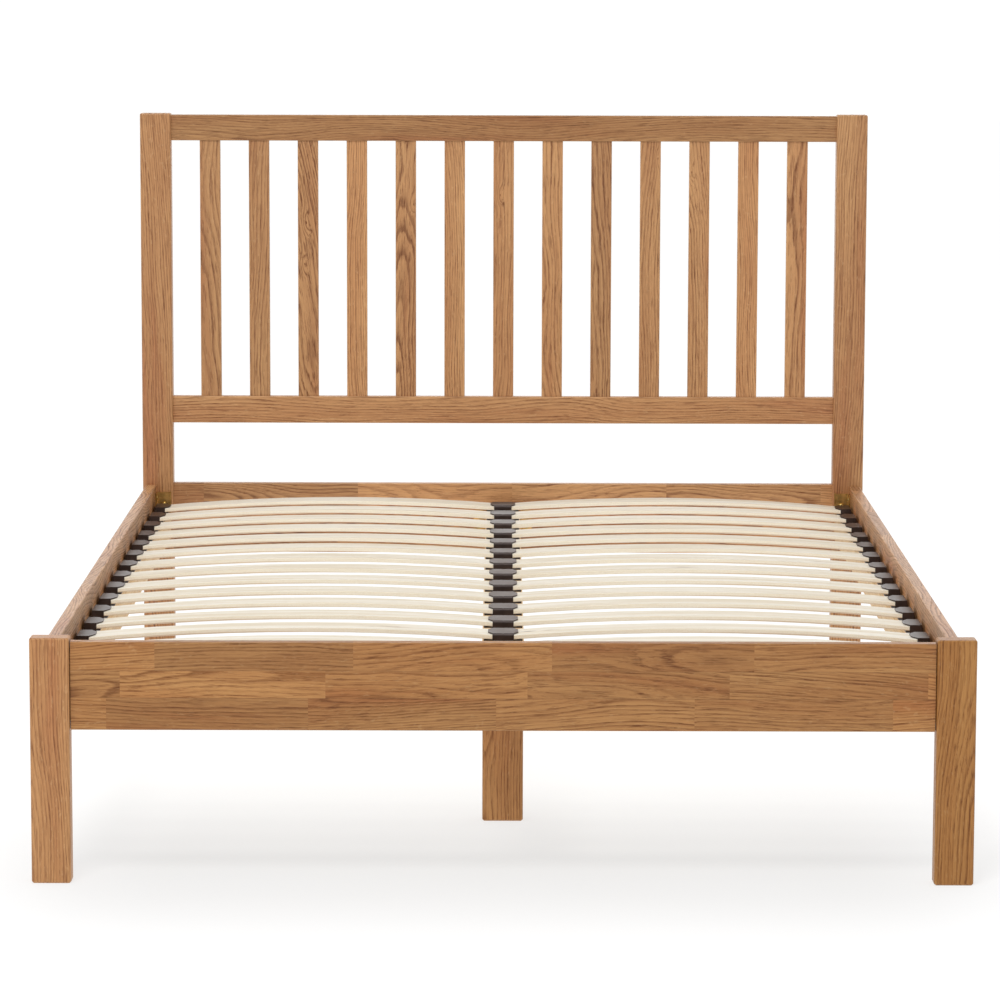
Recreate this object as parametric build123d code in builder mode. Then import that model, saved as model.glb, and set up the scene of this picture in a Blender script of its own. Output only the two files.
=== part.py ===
"""Oak bed frame for a 1500 x 2000 mm mattress, with a slatted headboard and a sprung slat base.

Millimetres. +X is the sleeper's left to right seen from the foot end, +Y runs from foot to head,
+Z is up. The origin is on the floor, at the middle of the overall length and width.
"""

from build123d import *

import os
from math import asin, degrees, radians, tan

# ---- overall -------------------------------------------------------------------------------
LENGTH = 2085.0  # foot legs' front faces to the headboard posts' back faces
FOOT_WIDTH = 1600.0
HEAD_WIDTH = 1562.0

# ---- posts and legs ------------------------------------------------------------------------
POST_WIDTH = 66.0
POST_DEPTH = 40.0
POST_HEIGHT = 1220.0
LEG_WIDTH = 67.0
LEG_DEPTH = 40.0
LEG_HEIGHT = 422.0
POST_EDGE = 4.5  # rounding of the upright arrises
POST_TOP_EDGE = 3.6
FOOT_CHAMFER = 3.0

# ---- rails ---------------------------------------------------------------------------------
RAIL_HEIGHT = 151.0
RAIL_THICK = 22.0
SIDE_RAIL_TOP = 417.0
FOOT_RAIL_TOP = 414.5
HEAD_RAIL_TOP = 420.0
RAIL_EDGE = 2.0
SIDE_RAIL_FACE = 774.0  # outer face of a side rail, from the middle of the bed
FOOT_RAIL_SETBACK = 9.0
HEAD_RAIL_SETBACK = 10.0
SHADOW_GAP = 1.5  # at each shoulder of the foot rail
TENON_LENGTH = 22.0
TENON_THICK = 10.0
TENON_SHOULDER = 16.0  # the tenon is this much lower than its rail at top and bottom
FIT = 0.3  # play round a hidden tenon, stud or screw
END_PLAY = 1.0  # play past the end of a tenon, stud, bolt or screw

# ---- headboard -----------------------------------------------------------------------------
HEADBOARD_RAIL_THICK = 22.0
TOP_RAIL_LOW, TOP_RAIL_TOP = 1162.0, 1217.0
LOWER_RAIL_LOW, LOWER_RAIL_TOP = 552.0, 610.0
UPRIGHT_COUNT = 13
UPRIGHT_WIDTH = 44.0
UPRIGHT_THICK = 14.0
UPRIGHT_EDGE = 1.5
UPRIGHT_TENON = 14.0
UPRIGHT_TENON_INSET = 3.0

# ---- sprung slats and their caps -----------------------------------------------------------
ROW_COUNT = 14
ROW_PITCH = 139.3
FIRST_ROW = 1970.0  # middle of the row next to the headboard, from the foot legs' front faces
SLAT_WIDTH = 63.0
SLAT_THICK = 8.0
SLAT_CAMBER = 16.5
SLAT_EDGE = 2.0
SLAT_HELD = {"side": 19.0, "centre": 14.0}  # how far a slat's end goes into its cap
CAP_LENGTH = 66.0
CAP_HEIGHT = 30.0
CAP_EDGE = 1.5
CAP_ROOF = 2.4  # plastic over the slat's end
CAP_LIP = 2.4  # plastic shelf under the slat's end
LIP_INSET = 2.0  # the lip stops this far short of the cap's ends
TONGUE_INSET = {"side": 2.0, "centre": 5.0}  # and the tongue's root this far
TONGUE_ROOT = 4.0  # overlap of the tongue with the body it grows from
TONGUE_TIP_SHARE = 0.42  # width of the tongue's blunt tip, as a share of the cap's length
TONGUE_ROUNDING = 0.6  # tip radius, as a share of the tongue's reach
MOUTH_CLEARANCE = 40.0  # how far the socket cut runs out past the mouth
SOCKET_PLAY = 0.6
SIDE_CAP_INNER = 725.0  # the cap bodies' faces towards the slats, from the middle of the bed
SIDE_CAP_WIDTH = 26.0
SIDE_CAP_LEAN = 4.0
SIDE_TONGUE = 10.0  # the roof's reach past the cap's body
SIDE_LIP_REACH = 7.0
CENTRE_CAP_HALF = 18.7
CENTRE_CAP_BROW = 4.5  # rounding of the top edges at the cap's two ends
CENTRE_TONGUE = 7.7
CENTRE_LIP_REACH = 15.5
SEAM_WIDTH = 1.0  # groove between the halves of a double cap
SEAM_DEPTH = 0.7
STUD_RADIUS = 4.0
STUD_LENGTH = 12.0
STUD_SPACING = 36.0

# ---- battens, centre beam and its legs -----------------------------------------------------
BATTEN_WIDTH = 34.0
BATTEN_HEIGHT = 48.0
BATTEN_CHAMFER = 1.5
BATTEN_TOP = 352.0
BATTEN_START, BATTEN_END = 76.0, 2012.0
BEAM_WIDTH = 74.0
BEAM_HEIGHT = 45.0
BEAM_TOP = 358.0
BEAM_END_PLAY = 2.0
CENTRE_LEG_WIDTH = 74.0
CENTRE_LEG_DEPTH = 40.0
CENTRE_LEG_FRONT = 517.0  # front face of the leg nearer the foot

# ---- brackets ------------------------------------------------------------------------------
BRACKET_THICK = 3.0
BRACKET_TOP = 401.5
BRACKET_HEIGHT = 86.0
BRACKET_FILLET = 1.0  # in the inner corner
HEAD_LEAF = 33.0
FOOT_LEAF = 19.0
RAIL_LEAF = 30.0
RETURN_DEPTH = 8.0
RETURN_THICK = 2.5
RETURN_RISE = 2.0
HANGER_THICK = 2.0
HANGER_REACH = 45.0
HANGER_EAR = 24.0
HANGER_HEIGHT = 52.0
HANGER_CORNER = 4.0

# ---- fasteners -----------------------------------------------------------------------------
BOLT_RADIUS = 4.0
BOLT_HEAD_RADIUS = 7.0
BOLT_HEAD_HEIGHT = 4.5
BOLT_DOME = 4.05  # rounding of the head
BOLT_LENGTH = 15.0
BOLT_SPACING = 38.0
BOLT_BELOW_TOP = 27.7
HEX_SOCKET = 2.6
HEX_DEPTH = 2.7
INSERT_RADIUS = 5.5
INSERT_LENGTH = 12.0
SCREW_RADIUS = 2.0
SCREW_HEAD_RADIUS = 4.0
SCREW_HEAD_HEIGHT = 1.8
SCREW_CROWN = 0.5  # rounding and slot depth, as shares of the head's height
SCREW_SLOT = 0.8
BRACKET_SCREW_LENGTH = 18.0
BRACKET_SCREW_SHARES = (0.13, 0.5, 0.87)  # of the bracket's height, from its top
HANGER_SCREW_LENGTH = 16.0
HANGER_SCREW_DROPS = (12.0, 38.0)  # from the hanger's top
BATTEN_SCREW_LENGTH = 46.0
BATTEN_SCREW_COUNT = 8
BATTEN_SCREW_DROP = 28.8  # from the batten's top
LEG_SCREW_RADIUS = 3.0
LEG_SCREW_HEAD_RADIUS = 5.5
LEG_SCREW_LENGTH = 90.0
LEG_SCREW_OFFSET = 28.0
LEG_SCREW_HEAD_HEIGHT = 4.0

# ---- places that follow from the sizes -----------------------------------------------------
FOOT_Y = -LENGTH / 2
HEAD_Y = LENGTH / 2 - POST_DEPTH
LEG_X = (FOOT_WIDTH - LEG_WIDTH) / 2
POST_X = (HEAD_WIDTH - POST_WIDTH) / 2
POST_INNER = POST_X - POST_WIDTH / 2
LEG_INNER = LEG_X - LEG_WIDTH / 2
SIDE_RAIL_INNER = SIDE_RAIL_FACE - RAIL_THICK
SIDE_CAP_X = SIDE_CAP_INNER + SIDE_CAP_WIDTH / 2
SIDE_CAP_TOP = BATTEN_TOP + CAP_HEIGHT
CENTRE_CAP_TOP = BEAM_TOP + CAP_HEIGHT
BEAM_LOW = BEAM_TOP - BEAM_HEIGHT
ROWS = [FOOT_Y + FIRST_ROW - ROW_PITCH * k for k in range(ROW_COUNT)]
FOOT_RAIL_Y = FOOT_Y + FOOT_RAIL_SETBACK + RAIL_THICK / 2
HEAD_RAIL_Y = HEAD_Y + HEAD_RAIL_SETBACK + RAIL_THICK / 2
HEADBOARD_Y = HEAD_Y + POST_DEPTH / 2
LEG_BACK_Y = FOOT_Y + LEG_DEPTH
BEAM_START_Y = FOOT_RAIL_Y + RAIL_THICK / 2 + BEAM_END_PLAY + HANGER_THICK
BEAM_END_Y = HEAD_RAIL_Y - RAIL_THICK / 2 - BEAM_END_PLAY - HANGER_THICK
CENTRE_LEG_YS = [
    FOOT_Y + CENTRE_LEG_FRONT + CENTRE_LEG_DEPTH / 2,
    -(FOOT_Y + CENTRE_LEG_FRONT + CENTRE_LEG_DEPTH / 2),
]
BOLT_ZS = [BRACKET_TOP - BOLT_BELOW_TOP, BRACKET_TOP - BOLT_BELOW_TOP - BOLT_SPACING]
BRACKET_SCREW_ZS = [BRACKET_TOP - BRACKET_HEIGHT * share for share in BRACKET_SCREW_SHARES]
HANGER_TOP = BEAM_LOW + HANGER_HEIGHT - HANGER_THICK
HANGER_SCREW_X = BEAM_WIDTH / 2 + HANGER_THICK + FIT + HANGER_EAR / 2
HANGER_SCREW_ZS = [HANGER_TOP - drop for drop in HANGER_SCREW_DROPS]
BATTEN_SCREW_YS = [
    FOOT_Y + BATTEN_START + (BATTEN_END - BATTEN_START) * (k + 0.5) / BATTEN_SCREW_COUNT
    for k in range(BATTEN_SCREW_COUNT)
]
BATTEN_SCREW_Z = BATTEN_TOP - BATTEN_SCREW_DROP
SIDES = {"left": -1, "right": 1}
ENDS = {
    "head": {"face": HEAD_Y, "inward": -1, "leaf": HEAD_LEAF},
    "foot": {"face": LEG_BACK_Y, "inward": 1, "leaf": FOOT_LEAF},
}


def finish(piece, label):
    """Labels a finished piece and writes it."""
    piece.part.label = label
    export_step(piece.part, f"parts/{label}.step")


def cut_mortises(places, size):
    """Cuts one mortise at each place, out of the piece that is being made."""
    with Locations(*places):
        Box(*[side + FIT for side in size], mode=Mode.SUBTRACT)


def cut_holes(planes, radius, depth):
    """Drills one round hole on each plane, inwards from it."""
    with Locations(*planes):
        Hole(radius + FIT, depth)


# ---- uprights ------------------------------------------------------------------------------
def upright(x, y, width, depth, height):
    """A post or leg standing on the floor, with eased arrises and a chamfered foot."""
    with BuildPart() as piece:
        with BuildSketch(Plane.XY):
            with Locations((x, y)):
                Rectangle(width, depth)
        extrude(amount=height)
        fillet(piece.edges().filter_by(Axis.Z), POST_EDGE)
        fillet(piece.faces().sort_by(Axis.Z)[-1].edges(), POST_TOP_EDGE)
        chamfer(piece.faces().sort_by(Axis.Z)[0].edges(), FOOT_CHAMFER)
    return piece


def tenon_size(low, top):
    """Length, thickness and height of a rail's tenon."""
    return TENON_LENGTH, TENON_THICK, top - low - 2 * TENON_SHOULDER


def headboard_post(side):
    rails = [
        (TOP_RAIL_LOW, TOP_RAIL_TOP, HEADBOARD_Y),
        (LOWER_RAIL_LOW, LOWER_RAIL_TOP, HEADBOARD_Y),
        (HEAD_RAIL_TOP - RAIL_HEIGHT, HEAD_RAIL_TOP, HEAD_RAIL_Y),
    ]
    blank = upright(side * POST_X, HEADBOARD_Y, POST_WIDTH, POST_DEPTH, POST_HEIGHT)
    with BuildPart() as post:
        add(blank.part)
        for low, top, y in rails:
            x = side * (POST_INNER + TENON_LENGTH / 2)
            cut_mortises([(x, y, (low + top) / 2)], tenon_size(low, top))
        cut_holes(bolt_planes(side, "head", 0), INSERT_RADIUS, INSERT_LENGTH + END_PLAY)
    return post


def foot_leg(side):
    blank = upright(side * LEG_X, FOOT_Y + LEG_DEPTH / 2, LEG_WIDTH, LEG_DEPTH, LEG_HEIGHT)
    with BuildPart() as leg:
        add(blank.part)
        low = FOOT_RAIL_TOP - RAIL_HEIGHT
        place = (side * (LEG_INNER + TENON_LENGTH / 2), FOOT_RAIL_Y, (low + FOOT_RAIL_TOP) / 2)
        cut_mortises([place], tenon_size(low, FOOT_RAIL_TOP))
        cut_holes(bolt_planes(side, "foot", 0), INSERT_RADIUS, INSERT_LENGTH + END_PLAY)
    return leg


def centre_leg(y):
    blank = upright(0, y, CENTRE_LEG_WIDTH, CENTRE_LEG_DEPTH, BEAM_LOW)
    with BuildPart() as leg:
        add(blank.part)
        planes = [Plane((x, y, BEAM_LOW)) for x in (-LEG_SCREW_OFFSET, LEG_SCREW_OFFSET)]
        cut_holes(planes, LEG_SCREW_RADIUS, LEG_SCREW_LENGTH - BEAM_HEIGHT + END_PLAY)
    return leg


# ---- rails ---------------------------------------------------------------------------------
def cross_rail(y, low, top, thick, inner, gap):
    """A rail across the bed between two uprights, with a stub tenon at each end."""
    length, tenon_thick, tenon_height = tenon_size(low, top)
    body = 2 * (inner - gap)
    with BuildPart() as rail:
        with BuildSketch(Plane.XY.offset(low)):
            with Locations((0, y)):
                Rectangle(body, thick)
        extrude(amount=top - low)
        fillet(rail.edges().filter_by(Axis.X), RAIL_EDGE)
        with Locations((0, y, (low + top) / 2)):
            Box(2 * (inner + length - END_PLAY), tenon_thick, tenon_height)
    return rail


def headboard_rail(low, top, mortise_z):
    """A headboard rail with a row of mortises for the uprights, in the edge at mortise_z."""
    blank = cross_rail(HEADBOARD_Y, low, top, HEADBOARD_RAIL_THICK, POST_INNER, 0)
    with BuildPart() as rail:
        add(blank.part)
        size = (
            UPRIGHT_WIDTH - 2 * UPRIGHT_TENON_INSET,
            UPRIGHT_THICK - 2 * UPRIGHT_TENON_INSET,
            2 * UPRIGHT_TENON,
        )
        cut_mortises([(x, HEADBOARD_Y, mortise_z) for x in upright_xs()], size)
    return rail


def upright_xs():
    """Middles of the headboard's uprights, with equal gaps from post to post."""
    gap = (2 * POST_INNER - UPRIGHT_COUNT * UPRIGHT_WIDTH) / (UPRIGHT_COUNT + 1)
    first = -POST_INNER + gap + UPRIGHT_WIDTH / 2
    return [first + k * (gap + UPRIGHT_WIDTH) for k in range(UPRIGHT_COUNT)]


def headboard_slat(x):
    """One flat upright of the headboard, with a tenon at the top and the bottom."""
    with BuildPart() as slat:
        with BuildSketch(Plane.XY.offset(LOWER_RAIL_TOP)):
            with Locations((x, HEADBOARD_Y)):
                Rectangle(UPRIGHT_WIDTH, UPRIGHT_THICK)
        extrude(amount=TOP_RAIL_LOW - LOWER_RAIL_TOP)
        fillet(slat.edges().filter_by(Axis.Z), UPRIGHT_EDGE)
        with Locations((x, HEADBOARD_Y, (LOWER_RAIL_TOP + TOP_RAIL_LOW) / 2)):
            Box(
                UPRIGHT_WIDTH - 2 * UPRIGHT_TENON_INSET,
                UPRIGHT_THICK - 2 * UPRIGHT_TENON_INSET,
                TOP_RAIL_LOW - LOWER_RAIL_TOP + 2 * (UPRIGHT_TENON - END_PLAY),
            )
    return slat


def drilled_cross_rail(y, low, top, gap, inner, inward):
    """A foot or head rail with pilot holes for the beam hanger, on the face towards the bed."""
    blank = cross_rail(y, low, top, RAIL_THICK, inner, gap)
    with BuildPart() as rail:
        add(blank.part)
        face = y + inward * RAIL_THICK / 2
        cut_holes(hanger_screw_planes(face, inward), SCREW_RADIUS, HANGER_SCREW_LENGTH)
    return rail


def side_rail(side):
    """A side rail, butted between a foot leg and a headboard post."""
    with BuildPart() as rail:
        with BuildSketch(Plane.XY.offset(SIDE_RAIL_TOP - RAIL_HEIGHT)):
            with Locations((side * (SIDE_RAIL_FACE - RAIL_THICK / 2), (LEG_BACK_Y + HEAD_Y) / 2)):
                Rectangle(RAIL_THICK, HEAD_Y - LEG_BACK_Y)
        extrude(amount=RAIL_HEIGHT)
        fillet(rail.edges().filter_by(Axis.Y), RAIL_EDGE)
        for end in ENDS:
            planes = bracket_screw_planes(side, end, 0)
            cut_holes(planes, SCREW_RADIUS, BRACKET_SCREW_LENGTH - BRACKET_THICK)
        planes = batten_screw_planes(side, SIDE_RAIL_INNER)
        cut_holes(planes, SCREW_RADIUS, BATTEN_SCREW_LENGTH - BATTEN_WIDTH + END_PLAY)
    return rail


# ---- slat base -----------------------------------------------------------------------------
def side_batten(side):
    """The batten screwed inside a side rail, with two stud holes under each cap."""
    middle = FOOT_Y + (BATTEN_START + BATTEN_END) / 2
    with BuildPart() as batten:
        with BuildSketch(Plane.XY.offset(BATTEN_TOP - BATTEN_HEIGHT)):
            with Locations((side * (SIDE_RAIL_INNER - BATTEN_WIDTH / 2), middle)):
                Rectangle(BATTEN_WIDTH, BATTEN_END - BATTEN_START)
        extrude(amount=BATTEN_HEIGHT)
        chamfer(batten.edges().filter_by(Axis.Y), BATTEN_CHAMFER)
        cut_holes(stud_planes(side * SIDE_CAP_X, BATTEN_TOP), STUD_RADIUS, STUD_LENGTH + END_PLAY)
        screw_face = SIDE_RAIL_INNER - BATTEN_WIDTH
        cut_holes(batten_screw_planes(side, screw_face), SCREW_RADIUS, BATTEN_WIDTH + END_PLAY)
        cut_holes(batten_screw_planes(side, screw_face), SCREW_HEAD_RADIUS, SCREW_HEAD_HEIGHT)
    return batten


def centre_beam():
    """The beam under the double caps, with counterbored screws down into its legs."""
    with BuildPart() as beam:
        with BuildSketch(Plane.XY.offset(BEAM_LOW)):
            with Locations((0, (BEAM_START_Y + BEAM_END_Y) / 2)):
                Rectangle(BEAM_WIDTH, BEAM_END_Y - BEAM_START_Y)
        extrude(amount=BEAM_HEIGHT)
        fillet(beam.edges().filter_by(Axis.Y), RAIL_EDGE)
        cut_holes(stud_planes(0, BEAM_TOP), STUD_RADIUS, STUD_LENGTH + END_PLAY)
        for y in CENTRE_LEG_YS:
            cut_holes(leg_screw_planes(y), LEG_SCREW_RADIUS, BEAM_HEIGHT + END_PLAY)
            cut_holes(leg_screw_planes(y), LEG_SCREW_HEAD_RADIUS, LEG_SCREW_HEAD_HEIGHT)
    return beam


def stud_planes(x, z):
    """Where the caps' two studs enter the batten or beam under them."""
    offsets = (-STUD_SPACING / 2, STUD_SPACING / 2)
    return [Plane((x, y + offset, z)) for y in ROWS for offset in offsets]


def slat_ends(side):
    """The two ends of a sprung slat's middle line, side end first, as (x, z)."""
    side_x = SIDE_CAP_INNER + SLAT_HELD["side"]
    centre_x = CENTRE_CAP_HALF - SLAT_HELD["centre"]
    drop = CAP_ROOF + SOCKET_PLAY / 2 + SLAT_THICK / 2
    side_z = SIDE_CAP_TOP - drop - SLAT_HELD["side"] * tan(radians(slat_slope("side")))
    centre_z = CENTRE_CAP_TOP - drop - SLAT_HELD["centre"] * tan(radians(slat_slope("centre")))
    return (side * side_x, side_z), (side * centre_x, centre_z)


def slat_slope(end):
    """How steeply a sprung slat rises out of its cap, in degrees."""
    chord = SIDE_CAP_INNER - CENTRE_CAP_HALF
    radius = chord**2 / (8 * SLAT_CAMBER) + SLAT_CAMBER / 2
    arc_slope = degrees(asin(chord / 2 / radius))
    lean = degrees(asin((CENTRE_CAP_TOP - SIDE_CAP_TOP) / chord))
    return arc_slope + lean if end == "side" else arc_slope - lean


def sprung_slat(side, y):
    """One bowed slat: two concentric arcs between its ends, with rounded long edges."""
    (x0, z0), (x1, z1) = sorted(slat_ends(side))
    chord = Vector(x1 - x0, 0, z1 - z0)
    middle = ((x0 + x1) / 2, y, (z0 + z1) / 2)
    half, rise = chord.length / 2, SLAT_CAMBER
    radius = half**2 / (2 * rise) + rise / 2
    slope = half / radius
    up, out = SLAT_THICK / 2, SLAT_THICK / 2 * slope
    with BuildPart() as slat:
        with BuildSketch(Plane(middle, x_dir=chord.normalized(), z_dir=(0, -1, 0))):
            with BuildLine():
                top = ThreePointArc((-half - out, up), (0, rise + up), (half + out, up))
                low = ThreePointArc((-half + out, -up), (0, rise - up), (half - out, -up))
                Line(top @ 0, low @ 0)
                Line(top @ 1, low @ 1)
            make_face()
        extrude(amount=SLAT_WIDTH / 2, both=True)
        fillet(slat.edges().filter_by(GeomType.CIRCLE), SLAT_EDGE)
    return slat


def slat_row(y):
    """The left and right slats of one row."""
    with BuildPart() as row:
        for side in SIDES.values():
            add(sprung_slat(side, y).part)
    return row


def cap_tongue(reach, inset):
    """Plan of a cap's roof past its body: shoulders drawn in to a blunt rounded tip."""
    root = CAP_LENGTH / 2 - inset
    tip = CAP_LENGTH / 2 * TONGUE_TIP_SHARE
    with BuildSketch() as plan:
        with BuildLine():
            Polyline((-TONGUE_ROOT, -root), (0, -root), (reach, -tip), (reach, tip))
            Polyline((reach, tip), (0, root), (-TONGUE_ROOT, root), (-TONGUE_ROOT, -root))
        make_face()
        fillet(plan.vertices().group_by(Axis.X)[-1], reach * TONGUE_ROUNDING)
    return plan


def socket_cut(mouth_x, top, end):
    """The tilted slot that holds a slat's end, opening towards +X at the cap's mouth."""
    height = SLAT_THICK + SOCKET_PLAY
    depth = SLAT_HELD[end] + END_PLAY
    with BuildPart() as slot:
        with BuildSketch(Plane.XZ):
            with Locations(Location((mouth_x, top - CAP_ROOF), (0, 0, slat_slope(end)))):
                with Locations(((MOUTH_CLEARANCE - depth) / 2, -height / 2)):
                    Rectangle(depth + MOUTH_CLEARANCE, height)
        extrude(amount=(SLAT_WIDTH + SOCKET_PLAY) / 2, both=True)
    return slot


def studs():
    with Locations((0, -STUD_SPACING / 2, 0), (0, STUD_SPACING / 2, 0)):
        Cylinder(STUD_RADIUS, 2 * STUD_LENGTH)


def side_cap():
    """A side cap on its batten, its mouth towards +X."""
    half = SIDE_CAP_WIDTH / 2
    lip_top = CAP_HEIGHT - CAP_ROOF - SLAT_THICK - SOCKET_PLAY
    tongue = cap_tongue(SIDE_TONGUE, TONGUE_INSET["side"])
    slot = socket_cut(half, CAP_HEIGHT, "side")
    with BuildPart() as cap:
        with BuildSketch(Plane.XZ):
            with BuildLine():
                Polyline((-half, 0), (half, 0), (half, CAP_HEIGHT))
                Polyline((half, CAP_HEIGHT), (-half + SIDE_CAP_LEAN, CAP_HEIGHT), (-half, 0))
            make_face()
        extrude(amount=CAP_LENGTH / 2, both=True)
        fillet(cap.faces().sort_by(Axis.X)[0].edges().sort_by(Axis.Z)[1:], CAP_EDGE)
        with Locations((half + SIDE_LIP_REACH / 2, 0, lip_top - CAP_LIP / 2)):
            Box(SIDE_LIP_REACH, CAP_LENGTH - 2 * LIP_INSET, CAP_LIP)
        with BuildSketch(Plane.XY.offset(CAP_HEIGHT)):
            with Locations((half, 0)):
                add(tongue.sketch)
        extrude(amount=-CAP_ROOF)
        add(slot.part, mode=Mode.SUBTRACT)
        studs()
    return cap


def centre_cap():
    """A double cap on the centre beam, with a mouth to each side and a seam between them."""
    lip_top = CAP_HEIGHT - CAP_ROOF - SLAT_THICK - SOCKET_PLAY
    tongue = cap_tongue(CENTRE_TONGUE, TONGUE_INSET["centre"])
    slot = socket_cut(CENTRE_CAP_HALF, CAP_HEIGHT, "centre")
    with BuildPart() as half_cap:
        with Locations((CENTRE_CAP_HALF / 2, 0, CAP_HEIGHT / 2)):
            Box(CENTRE_CAP_HALF, CAP_LENGTH, CAP_HEIGHT)
        brow = half_cap.faces().sort_by(Axis.Z)[-1].edges().filter_by(Axis.X)
        fillet(brow, CENTRE_CAP_BROW)
        with Locations((CENTRE_CAP_HALF + CENTRE_LIP_REACH / 2, 0, lip_top - CAP_LIP / 2)):
            Box(CENTRE_LIP_REACH, CAP_LENGTH - 2 * LIP_INSET, CAP_LIP)
        with BuildSketch(Plane.XY.offset(CAP_HEIGHT)):
            with Locations((CENTRE_CAP_HALF, 0)):
                add(tongue.sketch)
        extrude(amount=-CAP_ROOF)
        add(slot.part, mode=Mode.SUBTRACT)
        with Locations((0, 0, CAP_HEIGHT)):
            Box(SEAM_WIDTH, CAP_LENGTH, 2 * SEAM_DEPTH, mode=Mode.SUBTRACT)
        for end in (-1, 1):
            with Locations((0, end * CAP_LENGTH / 2, CAP_HEIGHT)):
                Box(SEAM_WIDTH, 2 * SEAM_DEPTH, 2 * CAP_HEIGHT, mode=Mode.SUBTRACT)
    with BuildPart() as cap:
        add(half_cap.part)
        mirror(about=Plane.YZ)
        studs()
    return cap


def placed_caps(cap, x, z, turn):
    """One cap on every row."""
    with BuildPart() as group:
        with Locations(*[Location((x, y, z), (0, 0, turn)) for y in ROWS]):
            add(cap.part)
    return group


# ---- brackets and hangers ------------------------------------------------------------------
def facing(origin, direction):
    """A plane whose +Z, the way out of a hole, points along direction."""
    return Plane(origin, z_dir=direction)


def bolt_planes(side, end, lift):
    """Bolt axes of one bracket, on a post's or leg's face or lifted off it."""
    inward = ENDS[end]["inward"]
    x = side * (SIDE_RAIL_INNER - (ENDS[end]["leaf"] + BRACKET_THICK) / 2)
    y = ENDS[end]["face"] + inward * lift
    return [facing((x, y, z), (0, inward, 0)) for z in BOLT_ZS]


def bracket_screw_planes(side, end, lift):
    """Screw axes of one bracket, on a side rail's inner face or lifted off it."""
    x = side * (SIDE_RAIL_INNER - lift)
    y = ENDS[end]["face"] + ENDS[end]["inward"] * (RAIL_LEAF + BRACKET_THICK) / 2
    return [facing((x, y, z), (-side, 0, 0)) for z in BRACKET_SCREW_ZS]


def batten_screw_planes(side, x):
    return [facing((side * x, y, BATTEN_SCREW_Z), (-side, 0, 0)) for y in BATTEN_SCREW_YS]


def leg_screw_planes(y):
    return [Plane((x, y, BEAM_TOP)) for x in (-LEG_SCREW_OFFSET, LEG_SCREW_OFFSET)]


def hanger_screw_planes(face_y, inward):
    xs = (-HANGER_SCREW_X, HANGER_SCREW_X)
    return [facing((x, face_y, z), (0, inward, 0)) for x in xs for z in HANGER_SCREW_ZS]


def corner_bracket(side, end):
    """An angle bracket: one leaf on the side rail, one on the post or leg."""
    leaf, inward = ENDS[end]["leaf"], ENDS[end]["inward"]
    corner = (side * SIDE_RAIL_INNER, ENDS[end]["face"])
    thick = BRACKET_THICK
    with BuildPart() as bracket:
        with BuildSketch(Plane.XY.offset(BRACKET_TOP - BRACKET_HEIGHT)) as section:
            with Locations((corner[0] - side * leaf / 2, corner[1] + inward * thick / 2)):
                Rectangle(leaf, thick)
            with Locations((corner[0] - side * thick / 2, corner[1] + inward * RAIL_LEAF / 2)):
                Rectangle(thick, RAIL_LEAF)
            inner = (corner[0] - side * thick, corner[1] + inward * thick)
            fillet(section.vertices().sort_by_distance(inner)[0], BRACKET_FILLET)
        extrude(amount=BRACKET_HEIGHT)
        if end == "head":
            edge_x = corner[0] - side * (leaf - RETURN_THICK / 2)
            place = (edge_x, corner[1] + inward * RETURN_DEPTH / 2)
            with BuildSketch(Plane.XY.offset(BRACKET_TOP - BRACKET_HEIGHT)):
                with Locations(place):
                    Rectangle(RETURN_THICK, RETURN_DEPTH)
            extrude(amount=BRACKET_HEIGHT + RETURN_RISE)
        cut_holes(bolt_planes(side, end, thick), BOLT_RADIUS, thick + END_PLAY)
        cut_holes(bracket_screw_planes(side, end, thick), SCREW_RADIUS, thick + END_PLAY)
    return bracket


def beam_hanger(face_y, inward):
    """A folded steel hanger: a U-shaped shoe round the beam's end, with two screwed ears."""
    half = BEAM_WIDTH / 2 + FIT
    low = BEAM_LOW - HANGER_THICK
    with BuildPart() as hanger:
        with BuildSketch(Plane((0, face_y, 0), x_dir=(1, 0, 0), z_dir=(0, -1, 0))) as back:
            with Locations((0, low + HANGER_HEIGHT / 2)):
                Rectangle(2 * (half + HANGER_THICK + HANGER_EAR), HANGER_HEIGHT)
            fillet(back.vertices(), HANGER_CORNER)
        extrude(amount=-inward * HANGER_THICK)
        with BuildSketch(Plane.XY.offset(low)):
            with Locations((0, face_y + inward * HANGER_REACH / 2)):
                Rectangle(2 * (half + HANGER_THICK), HANGER_REACH)
        extrude(amount=HANGER_HEIGHT)
        hollow_y = face_y + inward * (HANGER_THICK + HANGER_REACH / 2)
        with Locations((0, hollow_y, BEAM_LOW + HANGER_HEIGHT / 2)):
            Box(2 * half, HANGER_REACH, HANGER_HEIGHT, mode=Mode.SUBTRACT)
        planes = hanger_screw_planes(face_y + inward * HANGER_THICK, inward)
        cut_holes(planes, SCREW_RADIUS, HANGER_THICK + END_PLAY)
    return hanger


# ---- fasteners -----------------------------------------------------------------------------
def screw(radius, length, head_radius, head_height, sunk):
    """A screw along -Z whose head stands on z = 0, or is sunk under it."""
    head_low = -head_height if sunk else 0
    with BuildPart() as fastener:
        with BuildSketch(Plane.XY.offset(head_low)):
            Circle(head_radius)
        extrude(amount=head_height)
        fillet(fastener.edges().group_by(Axis.Z)[-1], head_height * SCREW_CROWN)
        with BuildSketch(Plane.XY.offset(head_low)):
            Circle(radius)
        extrude(amount=-(length - (head_height if sunk else 0)))
        with BuildSketch(Plane.XY.offset(head_low + head_height)):
            Rectangle(head_radius, SCREW_SLOT)
            Rectangle(SCREW_SLOT, head_radius)
        extrude(amount=-head_height * SCREW_CROWN, mode=Mode.SUBTRACT)
    return fastener


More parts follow.
